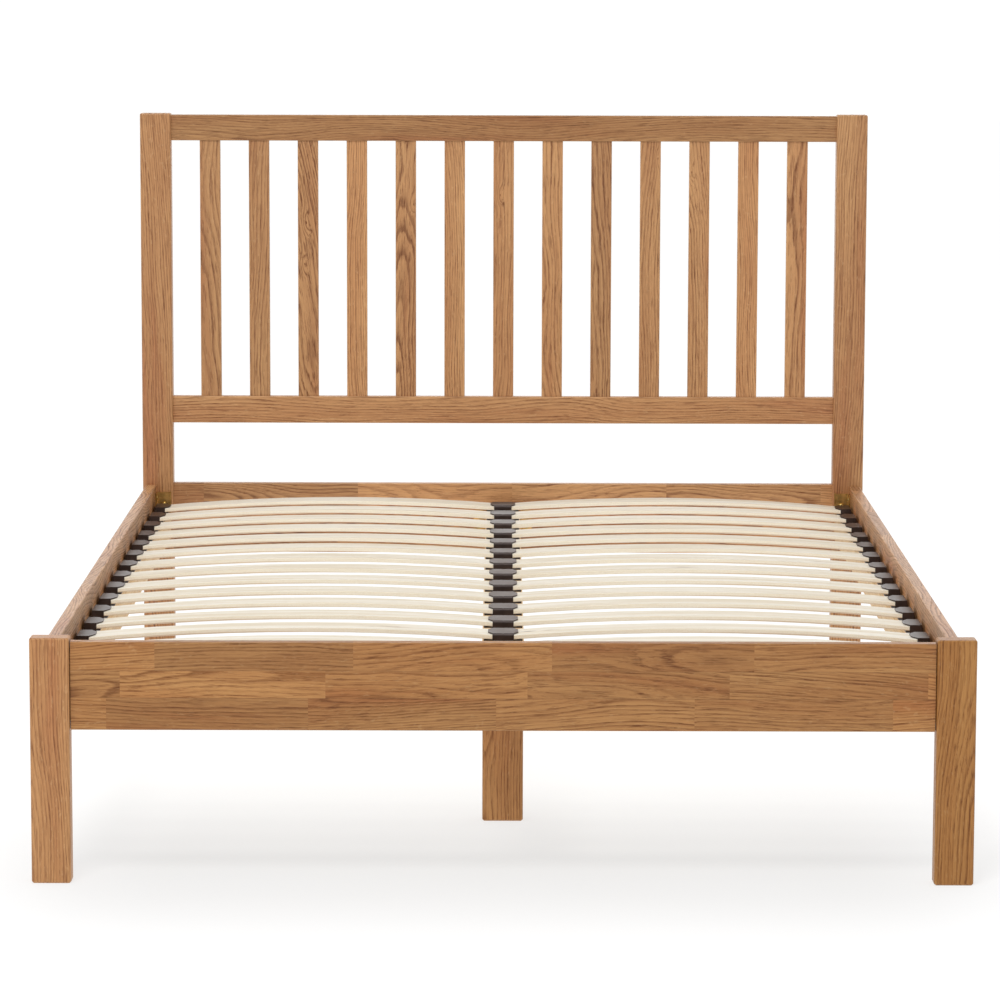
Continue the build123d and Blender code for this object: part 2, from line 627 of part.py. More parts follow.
def button_bolt():
    """A domed bolt along -Z with a hexagon socket, its head standing on z = 0."""
    with BuildPart() as bolt:
        with BuildSketch():
            Circle(BOLT_HEAD_RADIUS)
        extrude(amount=BOLT_HEAD_HEIGHT)
        fillet(bolt.edges().group_by(Axis.Z)[-1], BOLT_DOME)
        with BuildSketch():
            Circle(BOLT_RADIUS)
        extrude(amount=-BOLT_LENGTH)
        with BuildSketch(Plane.XY.offset(BOLT_HEAD_HEIGHT)):
            RegularPolygon(HEX_SOCKET, 6)
        extrude(amount=-HEX_DEPTH, mode=Mode.SUBTRACT)
    return bolt


def threaded_insert():
    """A threaded sleeve along -Z, flush at z = 0."""
    with BuildPart() as insert:
        with BuildSketch():
            Circle(INSERT_RADIUS)
            Circle(BOLT_RADIUS + FIT, mode=Mode.SUBTRACT)
        extrude(amount=-INSERT_LENGTH)
    return insert


def placed(fastener, planes):
    """One copy of a fastener on every plane."""
    with BuildPart() as group:
        with Locations(*planes):
            add(fastener.part)
    return group


def every_bracket(make_planes, lift):
    """The bolt or screw planes of all four brackets."""
    return [p for side in SIDES.values() for end in ENDS for p in make_planes(side, end, lift)]


def write_fasteners():
    bolts = placed(button_bolt(), every_bracket(bolt_planes, BRACKET_THICK))
    finish(bolts, "bracket_bolts")
    inserts = placed(threaded_insert(), every_bracket(bolt_planes, 0))
    finish(inserts, "bracket_inserts")

    small = (SCREW_HEAD_RADIUS, SCREW_HEAD_HEIGHT)
    rail_screw = screw(SCREW_RADIUS, BRACKET_SCREW_LENGTH - END_PLAY, *small, sunk=False)
    planes = every_bracket(bracket_screw_planes, BRACKET_THICK)
    finish(placed(rail_screw, planes), "bracket_screws")

    batten_screw = screw(SCREW_RADIUS, BATTEN_SCREW_LENGTH, *small, sunk=True)
    face = SIDE_RAIL_INNER - BATTEN_WIDTH
    planes = [p for side in SIDES.values() for p in batten_screw_planes(side, face)]
    finish(placed(batten_screw, planes), "batten_screws")

    hanger_screw = screw(SCREW_RADIUS, HANGER_SCREW_LENGTH, *small, sunk=False)
    planes = []
    for face, inward in hanger_faces().values():
        planes += hanger_screw_planes(face + inward * HANGER_THICK, inward)
    finish(placed(hanger_screw, planes), "hanger_screws")

    leg_head = (LEG_SCREW_HEAD_RADIUS, LEG_SCREW_HEAD_HEIGHT)
    leg_screw = screw(LEG_SCREW_RADIUS, LEG_SCREW_LENGTH, *leg_head, sunk=True)
    planes = [p for y in CENTRE_LEG_YS for p in leg_screw_planes(y)]
    finish(placed(leg_screw, planes), "centre_leg_screws")


def hanger_faces():
    """The rail face that each beam hanger is screwed to, and the way into the bed from it."""
    return {
        "foot": (FOOT_RAIL_Y + RAIL_THICK / 2, 1),
        "head": (HEAD_RAIL_Y - RAIL_THICK / 2, -1),
    }


def write_headboard():
    for name, side in SIDES.items():
        finish(headboard_post(side), f"headboard_post_{name}")
    finish(headboard_rail(TOP_RAIL_LOW, TOP_RAIL_TOP, TOP_RAIL_LOW), "headboard_top_rail")
    finish(headboard_rail(LOWER_RAIL_LOW, LOWER_RAIL_TOP, LOWER_RAIL_TOP), "headboard_lower_rail")
    for number, x in enumerate(upright_xs(), 1):
        finish(headboard_slat(x), f"headboard_slat_{number:02d}")
    low = HEAD_RAIL_TOP - RAIL_HEIGHT
    rail = drilled_cross_rail(HEAD_RAIL_Y, low, HEAD_RAIL_TOP, 0, POST_INNER, -1)
    finish(rail, "head_rail")


def write_foot_and_sides():
    for name, side in SIDES.items():
        finish(foot_leg(side), f"foot_leg_{name}")
        finish(side_rail(side), f"side_rail_{name}")
        finish(side_batten(side), f"side_batten_{name}")
        for end in ENDS:
            finish(corner_bracket(side, end), f"corner_bracket_{end}_{name}")
    low = FOOT_RAIL_TOP - RAIL_HEIGHT
    rail = drilled_cross_rail(FOOT_RAIL_Y, low, FOOT_RAIL_TOP, SHADOW_GAP, LEG_INNER, 1)
    finish(rail, "foot_rail")


def write_slat_base():
    finish(centre_beam(), "centre_beam")
    for name, y in zip(("front", "rear"), CENTRE_LEG_YS):
        finish(centre_leg(y), f"centre_leg_{name}")
    for end, (face, inward) in hanger_faces().items():
        finish(beam_hanger(face, inward), f"beam_hanger_{end}")
    for number, y in enumerate(ROWS, 1):
        finish(slat_row(y), f"sprung_slats_row_{number:02d}")
    cap = side_cap()
    finish(placed_caps(cap, -SIDE_CAP_X, BATTEN_TOP, 0), "slat_caps_left")
    finish(placed_caps(cap, SIDE_CAP_X, BATTEN_TOP, 180), "slat_caps_right")
    finish(placed_caps(centre_cap(), 0, BEAM_TOP, 0), "slat_caps_centre")


os.makedirs("parts", exist_ok=True)
write_headboard()
write_foot_and_sides()
write_slat_base()
write_fasteners()
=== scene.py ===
"""Looks for the oak bed frame: camera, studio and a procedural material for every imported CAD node.

The frame's nodes carry every shape. Lengths here are metres in the frame's own coordinates:
X across the bed, +Y from foot to head, Z up, with the floor at zero.
"""

from math import pi, radians

import bpy
from mathutils import Matrix, Vector


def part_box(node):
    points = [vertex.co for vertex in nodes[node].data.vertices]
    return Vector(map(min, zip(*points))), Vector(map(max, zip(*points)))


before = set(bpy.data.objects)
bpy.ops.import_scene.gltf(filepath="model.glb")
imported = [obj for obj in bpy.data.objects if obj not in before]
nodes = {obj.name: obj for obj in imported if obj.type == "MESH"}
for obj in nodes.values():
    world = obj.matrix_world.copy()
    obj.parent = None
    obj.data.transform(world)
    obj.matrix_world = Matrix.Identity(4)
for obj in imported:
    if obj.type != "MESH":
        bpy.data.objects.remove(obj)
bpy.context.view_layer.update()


# ---------------------------------------------------------------- colours
def linear(channel):
    """One sRGB channel, 0 to 255, as linear light."""
    share = channel / 255
    return share / 12.92 if share <= 0.04045 else ((share + 0.055) / 1.055) ** 2.4


def colour(red, green, blue, gain=1.0):
    return (linear(red) * gain, linear(green) * gain, linear(blue) * gain, 1.0)


WHITE = (1.0, 1.0, 1.0, 1.0)

OAK_GAIN = 0.965
OAK_PALE = colour(205, 155, 105, OAK_GAIN)
OAK_MID = colour(186, 132, 86, OAK_GAIN)
OAK_DARK = colour(118, 68, 34, OAK_GAIN)
OAK_ROSE = colour(186, 120, 80, OAK_GAIN)
OAK_PORE = colour(104, 66, 38, OAK_GAIN)
OAK_RAY = colour(222, 182, 134, OAK_GAIN)
# A painted highlight: the lighter colour laid along the arrises.
OAK_EDGE_HIGHLIGHT = colour(216, 172, 124, OAK_GAIN)

PINE_PALE = colour(228, 200, 156)
PINE_LATE = colour(196, 146, 92)
PINE_FIBRE = colour(184, 140, 92)
PINE_KNOT = colour(112, 66, 36)
# A painted highlight: the lighter colour laid along the pine's arrises.
PINE_EDGE_HIGHLIGHT = colour(240, 218, 180)

BIRCH_PALE = colour(243, 237, 223)
BIRCH_BAND = colour(229, 217, 193)
BIRCH_FIBRE = colour(206, 188, 156)
BIRCH_MARK = colour(122, 86, 60)
EDGE_EVEN = colour(255, 249, 232)
EDGE_ODD = colour(247, 235, 210)
EDGE_SPECK = colour(222, 200, 164)
EDGE_GLUE = colour(168, 132, 94)
# Painted shade along the bottom of the slats' edges
EDGE_PAINTED_SHADE = colour(198, 160, 118)

PLASTIC_DARK = colour(34, 25, 22)
PLASTIC_PALE = colour(50, 38, 34)
PLASTIC_DUST = colour(84, 74, 72)
PLASTIC_GLOSS = (1.0, 0.85, 0.82, 1.0)
ZINC_OLIVE = colour(150, 150, 96)


# ---------------------------------------------------------------- node trees
class Graph:
    """The node tree of a material or a world, built call by call; a value may be a number or a socket."""

    def __init__(self, owner):
        owner.use_nodes = True
        self.owner = owner
        self.tree = owner.node_tree
        self.tree.nodes.clear()

    def put(self, socket, value):
        if isinstance(value, bpy.types.NodeSocket):
            self.tree.links.new(value, socket)
        else:
            socket.default_value = value

    def add(self, kind, inputs=None, **settings):
        node = self.tree.nodes.new("ShaderNode" + kind)
        for key, value in settings.items():
            setattr(node, key, value)
        for key, value in (inputs or {}).items():
            self.put(node.inputs[key], value)
        return node

    def maths(self, operation, *values):
        node = self.add("Math", operation=operation)
        for socket, value in zip(node.inputs, values):
            self.put(socket, value)
        return node.outputs[0]

    def plus(self, a, b):
        return self.maths("ADD", a, b)

    def minus(self, a, b):
        return self.maths("SUBTRACT", a, b)

    def times(self, a, b):
        return self.maths("MULTIPLY", a, b)

    def magnitude(self, value):
        return self.maths("ABSOLUTE", value)

    def hypotenuse(self, a, b):
        return self.maths("SQRT", self.plus(self.times(a, a), self.times(b, b)))

    def fade(self, value, start, end, low=0.0, high=1.0):
        """low before start, high after end, and a smooth step between them."""
        inputs = {"Value": value, "From Min": start, "From Max": end, "To Min": low, "To Max": high}
        return self.add("MapRange", inputs, interpolation_type="SMOOTHSTEP").outputs[0]

    def here(self):
        """The shaded point in its object's coordinates, which are the frame's."""
        return self.add("TexCoord").outputs["Object"]

    def vector(self, x, y, z):
        return self.add("CombineXYZ", {"X": x, "Y": y, "Z": z}).outputs[0]

    def split(self, vector):
        return self.add("SeparateXYZ", {"Vector": vector}).outputs

    def grain(self, across, depth, along, often_across, often_along):
        """A place in a board, scaled by how often a figure repeats per metre across it and along it."""
        return self.vector(
            self.times(across, often_across),
            self.times(depth, often_across),
            self.times(along, often_along),
        )

    def noise(self, vector, detail=2.0, roughness=0.5, distortion=0.0, scale=1.0):
        inputs = {"Vector": vector, "Scale": scale, "Detail": detail}
        inputs.update({"Roughness": roughness, "Distortion": distortion})
        return self.add("TexNoise", inputs).outputs["Fac"]

    def swing(self, vector, reach, detail=2.0):
        """Noise about zero, up to about reach either way."""
        return self.times(self.minus(self.noise(vector, detail), 0.5), 2 * reach)

    def wander(self, along, often, reach, lane):
        """A slow swing along a board, so many times a metre; each lane has a swing of its own."""
        return self.swing(self.vector(self.times(along, often), lane, 0.0), reach, 1.0)

    def random(self, vector, output="Value"):
        node = self.add("TexWhiteNoise", {"Vector": vector}, noise_dimensions="3D")
        return node.outputs[output]

    def cells(self, vector):
        """Voronoi cells; Distance is how far their middle is, and Color a random colour for each."""
        return self.add("TexVoronoi", {"Vector": vector, "Scale": 1.0}, feature="F1").outputs

    def ramp(self, value, stops, smooth=True):
        node = self.add("ValToRGB", {"Fac": value})
        band = node.color_ramp
        band.interpolation = "LINEAR" if smooth else "CONSTANT"
        while len(band.elements) < len(stops):
            band.elements.new(0.5)
        for element, (place, level) in zip(band.elements, stops):
            element.position = place
            element.color = (level, level, level, 1.0)
        return node.outputs["Color"]

    def blend(self, share, a, b):
        """a where share is 0 and b where it is 1; a colour mix has its sockets after the other kinds'."""
        node = self.add("Mix", data_type="RGBA", blend_type="MIX", clamp_factor=True)
        for socket, value in zip((node.inputs[0], node.inputs[6], node.inputs[7]), (share, a, b)):
            self.put(socket, value)
        return node.outputs[2]

    def shade(self, base, roughness, height, relief, **shader):
        """Closes the tree with one Principled shader and a bump of that height in metres."""
        bump = self.add("Bump", {"Height": height, "Strength": relief, "Distance": 1.0})
        inputs = {"Base Color": base, "Roughness": roughness, "Normal": bump.outputs[0]}
        inputs.update({key.replace("_", " "): value for key, value in shader.items()})
        return self.close("OutputMaterial", self.add("BsdfPrincipled", inputs))

    def close(self, kind, shader):
        out = self.add(kind)
        self.tree.links.new(shader.outputs[0], out.inputs["Surface"])
        return self.owner


def material_graph(name):
    return Graph(bpy.data.materials.new(name))


def paint(node, material):
    data = nodes[node].data
    data.materials.clear()
    data.materials.append(material)


def place_in(g, node, axes):
    """The shaded point measured from the node's middle, and the node's half sizes.

    axes are the letters along, across and through the board; both answers go across, depth, along.
    """
    low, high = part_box(node)
    middle = (low + high) / 2
    half = (high - low) / 2
    xyz = g.split(g.here())
    along, across, depth = ["XYZ".index(letter) for letter in axes]
    order = (across, depth, along)
    return [g.minus(xyz[k], middle[k]) for k in order], [half[k] for k in order]


def arris(g, places, halves, reach):
    """1 on an edge between two faces of a box-like piece, fading to 0 a reach away from it."""
    gaps = [g.minus(half, g.magnitude(place)) for place, half in zip(places, halves)]
    lower = g.maths("MINIMUM", gaps[0], gaps[1])
    upper = g.maths("MAXIMUM", gaps[0], gaps[1])
    second = g.maths("MAXIMUM", lower, g.maths("MINIMUM", upper, gaps[2]))
    return g.fade(second, 0.0, reach, 1.0, 0.0)


# ---------------------------------------------------------------- the studio
CAMERA_PLACE = (-0.0061, -8.0041, 1.5904)
CAMERA_LENS = 150.7
CAMERA_SENSOR = 36.0
CAMERA_PITCH = radians(7.619)
CAMERA_ROLL = radians(0.15)
CAMERA_SIGHT = 200.0

SEEN_WHITE = 1.05  # what the camera sees behind the bed
WORLD_LIGHT = 0.56  # what lights the bed from all round
BACKDROP_LIGHT = 1.62  # what a bright wall behind the head adds to that
BACKDROP_AHEAD = (0.30, 0.95)  # the wall fades in as a direction turns towards +Y
BACKDROP_HEIGHT = (0.10, 0.62)  # and out as it turns up

FLOOR_HALF = 30.0
FLOOR_GREY = 0.25
FLOOR_MOTTLE = 0.01
FLOOR_GLOW = 0.86
PAINTED_SHADOW_BAND = 0.225  # painted shadow: how much less the floor glows in a soft band under the foot rail
PAINTED_SHADOW_Y = -0.88
PAINTED_SHADOW_DEPTH = (0.02, 0.95)  # the band's fade, measured from its middle line
PAINTED_SHADOW_WIDTH = (0.55, 1.15)

# name, place, what it is aimed at, size, watts and tint
LIGHTS = (
    ("overhead", (-0.4, 0.2, 4.2), (0.0, 0.2, 0.4), (3.4, 3.0), 18.0, (1.0, 0.985, 0.97)),
    ("key_front", (-1.3, -4.6, 6.6), (0.0, -0.3, 0.4), (2.2, 2.2), 215.0, (1.0, 0.985, 0.965)),
)


def build_camera():
    data = bpy.data.cameras.new("camera")
    data.lens = CAMERA_LENS
    data.sensor_width = CAMERA_SENSOR
    data.clip_end = CAMERA_SIGHT
    camera = bpy.data.objects.new("camera", data)
    tilt = Matrix.Rotation(pi / 2 - CAMERA_PITCH, 4, "X")
    roll = Matrix.Rotation(CAMERA_ROLL, 4, "Z")
    camera.matrix_world = Matrix.Translation(CAMERA_PLACE) @ tilt @ roll
    bpy.context.scene.collection.objects.link(camera)
    bpy.context.scene.camera = camera


def softbox(name, place, target, size, power, tint):
    data = bpy.data.lights.new(name, "AREA")
    data.shape = "RECTANGLE"
    data.size, data.size_y = size
    data.energy = power
    data.color = tint
    light = bpy.data.objects.new(name, data)
    light.location = place
    aim = Vector(target) - Vector(place)
    light.rotation_euler = aim.to_track_quat("-Z", "Y").to_euler()
    bpy.context.scene.collection.objects.link(light)


def build_world():
    """Even light from all round with a brighter wall behind the head; the camera sees plain white."""
    g = Graph(bpy.data.worlds.new("studio"))
    _, ahead, up = g.split(g.add("TexCoord").outputs["Generated"])
    wall = g.times(g.fade(ahead, *BACKDROP_AHEAD), g.fade(up, *BACKDROP_HEIGHT, 1.0, 0.0))
    strength = g.maths("MULTIPLY_ADD", wall, BACKDROP_LIGHT, WORLD_LIGHT)
    lighting = g.add("Background", {"Color": WHITE, "Strength": strength})
    seen = g.add("Background", {"Color": WHITE, "Strength": SEEN_WHITE})
    is_seen = g.add("LightPath").outputs["Is Camera Ray"]
    mix = g.add("MixShader", {0: is_seen, 1: lighting.outputs[0], 2: seen.outputs[0]})
    bpy.context.scene.world = g.close("OutputWorld", mix)


def floor_material():
    """Pale studio floor that reads white, but for a painted shadow: a soft band under the foot rail where
    it glows less.
    """
    g = material_graph("floor")
    here = g.here()
    level = g.plus(FLOOR_GREY, g.times(g.noise(here, scale=3.0), FLOOR_MOTTLE))
    x, y, _ = g.split(here)
    # Painted shadow: the floor glows less in a soft band under the foot rail.
    nearby = g.fade(g.magnitude(g.minus(y, PAINTED_SHADOW_Y)), *PAINTED_SHADOW_DEPTH, 1.0, 0.0)
    painted_shadow = g.times(nearby, g.fade(g.magnitude(x), *PAINTED_SHADOW_WIDTH, 1.0, 0.0))
    inputs = {
        "Base Color": g.vector(level, level, level),
        "Roughness": 0.9,
        "Specular IOR Level": 0.0,
        "Emission Color": WHITE,
        "Emission Strength": g.minus(FLOOR_GLOW, g.times(painted_shadow, PAINTED_SHADOW_BAND)),
    }
    return g.close("OutputMaterial", g.add("BsdfPrincipled", inputs))


def build_floor():
    mesh = bpy.data.meshes.new("floor")
    corners = [(x * FLOOR_HALF, y * FLOOR_HALF, 0) for x, y in ((-1, -1), (1, -1), (1, 1), (-1, 1))]
    mesh.from_pydata(corners, [], [(0, 1, 2, 3)])
    floor = bpy.data.objects.new("floor", mesh)
    floor.data.materials.append(floor_material())
    bpy.context.scene.collection.objects.link(floor)


# ---------------------------------------------------------------- oak
# How often each thing repeats, per metre across the board and along it
RING_BEND = (22.0, 4.0)
RING_JITTER = (260.0, 22.0)
TONE_PATCH = (16.0, 1.4)
PORE_DASH = (1150.0, 42.0)
FIBRE_LINE = (620.0, 9.0)
# The same for what follows the rings: by the turn about the log's heart, out from it and along it
RAY_FLECK = (34.0, 55.0, 75.0)
DARK_STREAK = (16.0, 460.0, 17.0)
# Between which levels of their noise these fade in
PORE_FADE = (0.56, 0.68)
RAY_FADE = (0.58, 0.72)
STREAK_FADE = (0.51, 0.67)
MID_FADE = (0.30, 0.72)
ROSE_FADE = (0.56, 0.80)

BEND_REACH = 0.007
JITTER_REACH = 0.0007
# How often per metre the log's heart swings, how far, and in which lane of the noise
HEART_SIDEWAYS = (1.7, 0.026, 0.0)
HEART_DEEP = (1.9, 0.038, 7.7)
LOG_STEP = 11.3  # how far up the log each next seed takes its grain from

# One year's ring from its start to its end: how dark it is
RING_PROFILE = ((0.0, 0.9), (0.12, 1.0), (0.34, 0.38), (0.7, 0.05), (0.9, 0.12), (1.0, 0.9))

# A knot, in its own sizes: how far it bends the rings, how much, and where its dark core fades out
KNOT_REACH = 4.5
KNOT_BULGE = 2.2
KNOT_CORE = (0.25, 0.55)
KNOT_SQUEEZE = 0.42  # makes it longer along the board

# How far in from an arris the painted edge highlight reaches
ARRIS = 0.003
STAVE_ARRIS = 0.002

# How much of its own colour each thing lays over the wood
ROSE_MOST = 0.7
EARLY_DARK = 0.70
FIBRE_DARK = 0.9
STREAK_DARK = 0.50
PORE_SHARE = 0.5
RAY_SHARE = 0.22
# The painted highlight along the arrises
EDGE_HIGHLIGHT_SHARE = 0.30

OAK_ROUGH = 0.40
PORE_ROUGH = 0.22
EARLY_ROUGH = 0.10
RAY_SMOOTH = 0.07
PORE_DEPTH = 0.00016
EARLY_DEPTH = 0.00005
FIBRE_RISE = 0.00005


def ring_radius(g, across, depth, along, far, pith, aside, knots):
    """How far from the log's heart the point grew, the point's turn about it, and the knots' cores."""
    sideways = g.plus(g.plus(across, aside), g.wander(far, *HEART_SIDEWAYS))
    deep = g.plus(g.plus(depth, pith), g.wander(far, *HEART_DEEP))
    radius = g.hypotenuse(sideways, deep)
    radius = g.plus(radius, g.swing(g.grain(across, depth, far, *RING_BEND), BEND_REACH))
    core = 0.0
    for height, side, size in knots:
        off = g.vector(g.minus(across, side), 0.0, g.times(g.minus(along, height), KNOT_SQUEEZE))
        reach = g.add("VectorMath", {0: off}, operation="LENGTH").outputs["Value"]
        radius = g.plus(radius, g.fade(reach, 0.0, size * KNOT_REACH, size * KNOT_BULGE, 0.0))
        start, end = (size * share for share in KNOT_CORE)
        core = g.maths("MAXIMUM", core, g.fade(reach, start, end, 1.0, 0.0))
    radius = g.plus(radius, g.swing(g.grain(across, depth, far, *RING_JITTER), JITTER_REACH))
    return radius, g.maths("ARCTAN2", sideways, deep), core


def oak_figure(g, across, depth, along, start, rings=215.0, pith=0.055, knots=(), slope=0.0, aside=0.0):
    """The figure of a board, whose grain begins at start up the log.

    The log's heart runs pith behind the board's middle and aside to one side of it. rings is their
    number to a metre, slope the run of the grain across the board, and a knot is its height, side and
    size.
    Returns the shares of dark early wood, pores, ray flecks, slow tone, fibre and dark streaks.
    """
    far = g.plus(along, start)
    across = g.plus(across, g.times(along, slope))
    radius, turn, core = ring_radius(g, across, depth, along, far, pith, aside, knots)
    count = g.times(radius, rings)
    profile = g.ramp(g.maths("FRACT", count), RING_PROFILE)
    loud = g.random(g.vector(g.maths("FLOOR", count), 3.1, 0.0))
    early = g.maths("MAXIMUM", g.times(profile, g.plus(0.2, g.times(loud, 0.8))), core)
    tone = g.noise(g.grain(across, depth, far, *TONE_PATCH), 3.0, 0.6)
    pores = g.fade(g.noise(g.grain(across, depth, far, *PORE_DASH), 1.0), *PORE_FADE)
    pores = g.times(pores, g.plus(0.25, g.times(profile, 0.9)))
    ringwise = (turn, radius, far)
    fleck = g.vector(*map(g.times, ringwise, RAY_FLECK))
    rays = g.fade(g.noise(fleck, 2.0, 0.6), *RAY_FADE)
    fibre = g.noise(g.grain(across, depth, far, *FIBRE_LINE), 3.0, 0.65)
    around, outward, upward = map(g.times, ringwise, DARK_STREAK)
    streaks = g.fade(g.noise(g.vector(outward, around, upward), 3.0, 0.66), *STREAK_FADE)
    return early, pores, rays, tone, fibre, streaks


def oak_shade(g, figure, edge_highlight, lightness, richness, bold=1.0):
    """Satin oiled oak from its figure, with a painted highlight along the arrises; bold scales the
    contrast of rings and streaks.
    """
    early, pores, rays, tone, fibre, streaks = figure
    ground = g.blend(g.fade(tone, *MID_FADE), OAK_PALE, OAK_MID)
    ground = g.blend(g.fade(tone, *ROSE_FADE, 0.0, ROSE_MOST), ground, OAK_ROSE)
    dark = g.plus(g.times(early, EARLY_DARK * bold), g.times(g.minus(fibre, 0.5), FIBRE_DARK))
    dark = g.plus(dark, g.times(streaks, STREAK_DARK * bold))
    dark = g.maths("MINIMUM", g.maths("MAXIMUM", dark, 0.0), 1.0)
    ground = g.blend(dark, ground, OAK_DARK)
    ground = g.blend(g.times(pores, PORE_SHARE), ground, OAK_PORE)
    ground = g.blend(g.times(rays, RAY_SHARE), ground, OAK_RAY)
    # Painted highlight: the arrises are lightened.
    ground = g.blend(g.times(edge_highlight, EDGE_HIGHLIGHT_SHARE), ground, OAK_EDGE_HIGHLIGHT)
    levels = {"Color": ground, "Value": lightness, "Saturation": richness}
    base = g.add("HueSaturation", levels).outputs[0]
    roughness = g.plus(OAK_ROUGH, g.times(pores, PORE_ROUGH))
    roughness = g.plus(roughness, g.times(early, EARLY_ROUGH))
    roughness = g.minus(roughness, g.times(rays, RAY_SMOOTH))
    height = g.plus(g.times(pores, -PORE_DEPTH), g.times(early, -EARLY_DEPTH))
    height = g.plus(height, g.times(fibre, FIBRE_RISE))
    return g.shade(base, roughness, height, 0.55, Specular_IOR_Level=0.42)


def oak_piece(node, axes, seed, lightness=1.0, richness=1.0, knots=(), bold=1.0, **log):
    """One solid oak board."""
    g = material_graph("oak_" + node)
    places, halves = place_in(g, node, axes)
    figure = oak_figure(g, *places, seed * LOG_STEP, knots=knots, **log)
    edge_highlight = arris(g, places, halves, ARRIS)
    paint(node, oak_shade(g, figure, edge_highlight, lightness, richness, bold))


# ---------------------------------------------------------------- glued staves
# The rails are glued up from rows of short strips. For each row of the foot rail, from the top: its
# lower edge above the floor, where its second and further strips start along the rail, and every
# strip's tone from 0 for dark to 1 for light.
FOOT_STAVES = (
    (0.3657, (-0.592, -0.257, 0.077, 0.419), (0.85, 0.20, 0.65, 0.22, 0.45)),
    (0.3188, (-0.649, -0.306, 0.038, 0.380, 0.714), (0.5, 0.9, 0.65, 0.3, 0.35, 1.0)),
    (0.0, (-0.677, -0.334, -0.017, 0.322, 0.655), (0.75, 0.25, 0.35, 0.5, 0.35, 0.8)),
)
STAVE_ROWS = 3
STAVE_LENGTH = 0.335
STAVE_LOG = 60.0  # a strip's grain starts anywhere in this length of log
STAVE_SHIFT = 0.10  # how far strips differ in where the heart runs, sideways and in depth
STAVE_SINK = 0.07
STAVE_SLOPE = 0.16
STAVE_DARK = 0.84
STAVE_TONES = 0.32
SEAM_LINE = (0.0003, 0.0012)  # a seam is dark up to the first of these from its middle
SEAM_DARK = 0.84
ROW_STEP = 8  # strip numbers go up by this from row to row
MOST_STRIPS = 32


def staved_piece(node, axes, seed, lightness=1.0, richness=1.0, rows=None):
    """A board of glued strips, each with grain from another part of the log."""
    g = material_graph("oak_staved_" + node)
    places, halves = place_in(g, node, axes)
    side, deep, far = places
    if rows:
        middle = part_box(node)[0]["XYZ".index(axes[1])] + halves[0]
        strip, tone = listed_staves(g, side, far, halves[2], middle, rows)
        seams = [row[0] - middle for row in rows[:-1]]
    else:
        strip, tone = even_staves(g, side, far, halves[0], seed)
        seams = [halves[0] * (2 * k / STAVE_ROWS - 1) for k in range(1, STAVE_ROWS)]
    shares = g.split(g.random(g.vector(strip, seed, 0.0), "Color"))
    start = g.plus(g.times(shares[0], STAVE_LOG), seed * LOG_STEP)
    shifted = g.plus(side, g.times(g.minus(shares[1], 0.5), STAVE_SHIFT))
    sunk = g.plus(deep, g.times(g.minus(shares[2], 0.4), STAVE_SINK))
    slope = g.times(g.minus(g.random(g.vector(strip, seed, 2.0)), 0.5), STAVE_SLOPE)
    figure = oak_figure(g, shifted, sunk, far, start, rings=200.0, pith=0.06, slope=slope)
    edge_highlight = arris(g, places, halves, STAVE_ARRIS)
    value = g.plus(STAVE_DARK * lightness, g.times(tone, STAVE_TONES * lightness))
    for seam in seams:
        value = g.times(value, g.fade(g.magnitude(g.minus(side, seam)), *SEAM_LINE, SEAM_DARK, 1.0))
    paint(node, oak_shade(g, figure, edge_highlight, value, richness))


def listed_staves(g, side, far, half_length, middle, rows):
    """Strip number and tone for rows whose joints are listed."""
    share = g.plus(0.5, g.times(far, 0.5 / half_length))
    strips, tones = [], []
    for number, (_, joints, levels) in enumerate(rows):
        places = [0.0] + [0.5 + 0.5 * joint / half_length for joint in joints]
        labels = [(number * ROW_STEP + k + 1) / MOST_STRIPS for k in range(len(places))]
        strips.append(g.ramp(share, list(zip(places, labels)), smooth=False))
        tones.append(g.ramp(share, list(zip(places, levels)), smooth=False))
    strip, tone = strips[-1], tones[-1]
    for number in range(len(rows) - 2, -1, -1):
        above = g.maths("GREATER_THAN", side, rows[number][0] - middle)
        strip = g.blend(above, strip, strips[number])
        tone = g.blend(above, tone, tones[number])
    return strip, tone


def even_staves(g, side, far, half_height, seed):
    """Strip number and tone for equal rows of equal strips, staggered by row."""
    row = g.maths("FLOOR", g.times(g.plus(side, half_height), STAVE_ROWS / 2 / half_height))
    stagger = g.random(g.vector(row, seed, 5.0))
    count = g.plus(g.times(far, 1 / STAVE_LENGTH), stagger)
    strip = g.plus(g.maths("FLOOR", count), g.times(row, 37.0))
    return strip, g.random(g.vector(strip, seed, 9.0))


# ---------------------------------------------------------------- pine
# As for oak; the pairs are per metre across the board and along it
PINE_BEND = (20.0, 3.0)
PINE_KNOTS = (9.0, 3.2)
PINE_LINE = (500.0, 8.0)
PINE_BEND_REACH = 0.004
PINE_KNOT_REACH = 0.32
PINE_KNOT_BULGE = 0.030
PINE_KNOT_CORE = (0.05, 0.12)
PINE_RINGS = 260.0
PINE_PROFILE = ((0.0, 0.05), (0.55, 0.2), (0.86, 0.8), (0.95, 1.0), (1.0, 0.05))
PINE_PITH = 0.05
PINE_ARRIS = 0.002
PINE_STEP = 7.9
PINE_SIDEWAYS = (1.4, 0.03, 0.0)
PINE_DEEP = (1.1, 0.03, 5.0)


